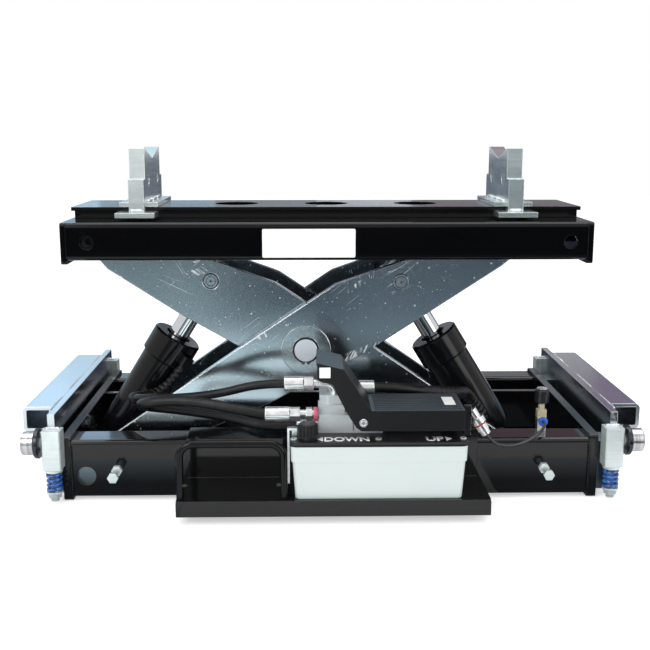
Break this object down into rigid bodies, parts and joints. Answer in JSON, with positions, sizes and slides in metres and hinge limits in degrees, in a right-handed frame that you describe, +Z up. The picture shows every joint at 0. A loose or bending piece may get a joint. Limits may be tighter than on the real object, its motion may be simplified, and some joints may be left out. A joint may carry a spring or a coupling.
{
  "type": "pit jack",
  "caption": "Rolling scissor pit jack with sliding rail carriages, twin hydraulic cylinders, foot pump, hoses and sliding lift pads",
  "frame": {"origin": "Bottom centre of the bounding box, on the floor under the end plates", "axes": "+X along the jack to the right, +Y away from the foot pump, +Z up"},
  "size_m": [0.855, 0.5164, 0.4729],
  "materials": {
    "frame_paint": "gloss black paint on steel",
    "cylinder_paint": "satin black paint on steel",
    "zinc_plate": "zinc plated plate, spangled and scuffed",
    "zinc": "bright zinc plated turned steel",
    "rod_chrome": "hard chrome",
    "cast_metal": "cast aluminium",
    "tank_plastic": "white slightly see-through moulded plastic",
    "lid_plastic": "black moulded plastic",
    "hose_rubber": "black hose",
    "air_tube": "black nylon tube",
    "spring_paint": "blue painted spring steel"
  },
  "bodies": {
    "lower_frame": {"front_beam": "frame_paint", "rear_beam": "frame_paint", "end_plates": "frame_paint", "inner_rails": "frame_paint", "lower_pivot_shaft": "zinc", "clamp_screws": "zinc", "pump_tray": "frame_paint", "guard_bar": "frame_paint", "tank": "tank_plastic", "pump_lid": "lid_plastic", "lid_screws": "zinc", "filler_cap": "lid_plastic", "treadle_pin": "zinc", "pump_block": "cast_metal", "pump_bracket": "zinc", "hose_fittings": "zinc", "left_hose": "hose_rubber", "loop_hose": "hose_rubber", "right_hose": "hose_rubber", "air_fittings": "zinc", "air_line": "air_tube"},
    "treadle_rocker": {"treadle": "lid_plastic"},
    "outer_scissor": {"outer_arms": "zinc_plate", "outer_arm_pins": "zinc", "hub_washers": "zinc"},
    "inner_scissor": {"inner_arms": "zinc_plate", "inner_arm_pins": "zinc", "arm_spacer": "frame_paint"},
    "upper_track_rollers": {"upper_rollers": "zinc"},
    "lower_track_rollers": {"lower_rollers": "zinc"},
    "left_cylinder": {"left_barrel": "cylinder_paint"},
    "left_piston": {"left_rod": "rod_chrome"},
    "right_cylinder": {"right_barrel": "cylinder_paint"},
    "right_piston": {"right_rod": "rod_chrome"},
    "upper_frame": {"upper_beams": "frame_paint", "upper_end_plates": "frame_paint", "upper_pivot_shaft": "frame_paint", "top_rail": "frame_paint"},
    "left_lift_pad": {"left_pad": "zinc_plate"},
    "right_lift_pad": {"right_pad": "zinc_plate"},
    "left_carriage": {"left_carriage_plate": "zinc_plate", "left_channel": "zinc_plate", "left_slide_bars": "zinc_plate", "left_roller_blocks": "zinc_plate"},
    "right_carriage": {"right_carriage_plate": "zinc_plate", "right_channel": "zinc_plate", "right_slide_bars": "zinc_plate", "right_roller_blocks": "zinc_plate"},
    "front_left_axle": {"front_left_stud": "zinc", "front_left_spring": "spring_paint"},
    "front_left_wheel": {"front_left_roller": "zinc"},
    "front_right_axle": {"front_right_stud": "zinc", "front_right_spring": "spring_paint"},
    "front_right_wheel": {"front_right_roller": "zinc"},
    "rear_left_axle": {"rear_left_stud": "zinc", "rear_left_spring": "spring_paint"},
    "rear_left_wheel": {"rear_left_roller": "zinc"},
    "rear_right_axle": {"rear_right_stud": "zinc", "rear_right_spring": "spring_paint"},
    "rear_right_wheel": {"rear_right_roller": "zinc"}
  },
  "joints": [
    {"name": "lift", "type": "hinge", "parent": "lower_frame", "child": "outer_scissor", "pos_m": [-0.322, -0.01525, 0.038], "axis": [0, -1, 0], "range_deg": [-15.4, 4.3]},
    {"name": "scissor_cross", "type": "hinge", "parent": "outer_scissor", "child": "inner_scissor", "pos_m": [-0.03402, -0.01525, 0.19501], "axis": [0, -1, 0], "range_deg": [-8.7, 30.9]},
    {"name": "upper_frame_level", "type": "hinge", "parent": "inner_scissor", "child": "upper_frame", "pos_m": [-0.322, -0.01525, 0.35202], "axis": [0, -1, 0], "range_deg": [-15.5, 4.4]},
    {"name": "upper_track_roll", "type": "hinge", "parent": "outer_scissor", "child": "upper_track_rollers", "pos_m": [0.25396, -0.01525, 0.35202], "axis": [0, 1, 0], "continuous": true},
    {"name": "lower_track_roll", "type": "hinge", "parent": "inner_scissor", "child": "lower_track_rollers", "pos_m": [0.25396, -0.01525, 0.038], "axis": [0, 1, 0], "continuous": true},
    {"name": "left_cylinder_swing", "type": "hinge", "parent": "lower_frame", "child": "left_cylinder", "pos_m": [-0.322, -0.01525, 0.038], "axis": [0, -1, 0], "range_deg": [-18.1, 5.1], "deforming": ["left_hose"]},
    {"name": "left_piston_slide", "type": "slide", "parent": "left_cylinder", "child": "left_piston", "axis": [0.5245, 0, 0.8514], "range_m": [-0.0862, 0.0242]},
    {"name": "right_cylinder_swing", "type": "hinge", "parent": "inner_scissor", "child": "right_cylinder", "pos_m": [0.25396, -0.01525, 0.038], "axis": [0, -1, 0], "range_deg": [-0.8, 2.7], "deforming": ["right_hose"]},
    {"name": "right_piston_slide", "type": "slide", "parent": "right_cylinder", "child": "right_piston", "axis": [-0.5245, 0, 0.8514], "range_m": [-0.0862, 0.0242]},
    {"name": "left_pad_slide", "type": "slide", "parent": "upper_frame", "child": "left_lift_pad", "axis": [1, 0, 0], "range_m": [-0.06, 0.15]},
    {"name": "right_pad_slide", "type": "slide", "parent": "upper_frame", "child": "right_lift_pad", "axis": [1, 0, 0], "range_m": [-0.15, 0.06]},
    {"name": "treadle_rock", "type": "hinge", "parent": "lower_frame", "child": "treadle_rocker", "pos_m": [0.039, -0.20325, 0.132], "axis": [0, -1, 0], "range_deg": [-2.4, 4.5], "stiffness_Nm_per_rad": 20, "springref_deg": 0.57},
    {"name": "left_carriage_extend", "type": "slide", "parent": "lower_frame", "child": "left_carriage", "axis": [-1, 0, 0], "range_m": [-0.002, 0.12]},
    {"name": "right_carriage_extend", "type": "slide", "parent": "lower_frame", "child": "right_carriage", "axis": [1, 0, 0], "range_m": [-0.002, 0.12]},
    {"name": "front_left_axle_lift", "type": "slide", "parent": "left_carriage", "child": "front_left_axle", "axis": [0, 0, 1], "range_m": [0, 0.006], "stiffness_N_per_m": 4000, "springref_m": -0.008, "deforming": ["front_left_spring"]},
    {"name": "front_left_wheel_spin", "type": "hinge", "parent": "front_left_axle", "child": "front_left_wheel", "pos_m": [-0.399, -0.17825, 0.0865], "axis": [1, 0, 0], "continuous": true},
    {"name": "front_right_axle_lift", "type": "slide", "parent": "right_carriage", "child": "front_right_axle", "axis": [0, 0, 1], "range_m": [0, 0.006], "stiffness_N_per_m": 4000, "springref_m": -0.008, "deforming": ["front_right_spring"]},
    {"name": "front_right_wheel_spin", "type": "hinge", "parent": "front_right_axle", "child": "front_right_wheel", "pos_m": [0.406, -0.17825, 0.0865], "axis": [1, 0, 0], "continuous": true},
    {"name": "rear_left_axle_lift", "type": "slide", "parent": "left_carriage", "child": "rear_left_axle", "axis": [0, 0, 1], "range_m": [0, 0.006], "stiffness_N_per_m": 4000, "springref_m": -0.008, "deforming": ["rear_left_spring"]},
    {"name": "rear_left_wheel_spin", "type": "hinge", "parent": "rear_left_axle", "child": "rear_left_wheel", "pos_m": [-0.399, 0.23775, 0.0865], "axis": [1, 0, 0], "continuous": true},
    {"name": "rear_right_axle_lift", "type": "slide", "parent": "right_carriage", "child": "rear_right_axle", "axis": [0, 0, 1], "range_m": [0, 0.006], "stiffness_N_per_m": 4000, "springref_m": -0.008, "deforming": ["rear_right_spring"]},
    {"name": "rear_right_wheel_spin", "type": "hinge", "parent": "rear_right_axle", "child": "rear_right_wheel", "pos_m": [0.406, 0.23775, 0.0865], "axis": [1, 0, 0], "continuous": true}
  ],
  "couplings": [
    {"joint": "scissor_cross", "follows": "lift", "ratio": -2},
    {"joint": "upper_frame_level", "follows": "lift", "ratio": 1},
    {"joint": "left_cylinder_swing", "follows": "lift", "ratio": 1.17},
    {"joint": "left_piston_slide", "follows": "lift", "m_per_rad": 0.3189},
    {"joint": "right_cylinder_swing", "follows": "lift", "ratio": -0.17},
    {"joint": "right_piston_slide", "follows": "lift", "m_per_rad": 0.3189}
  ]
}
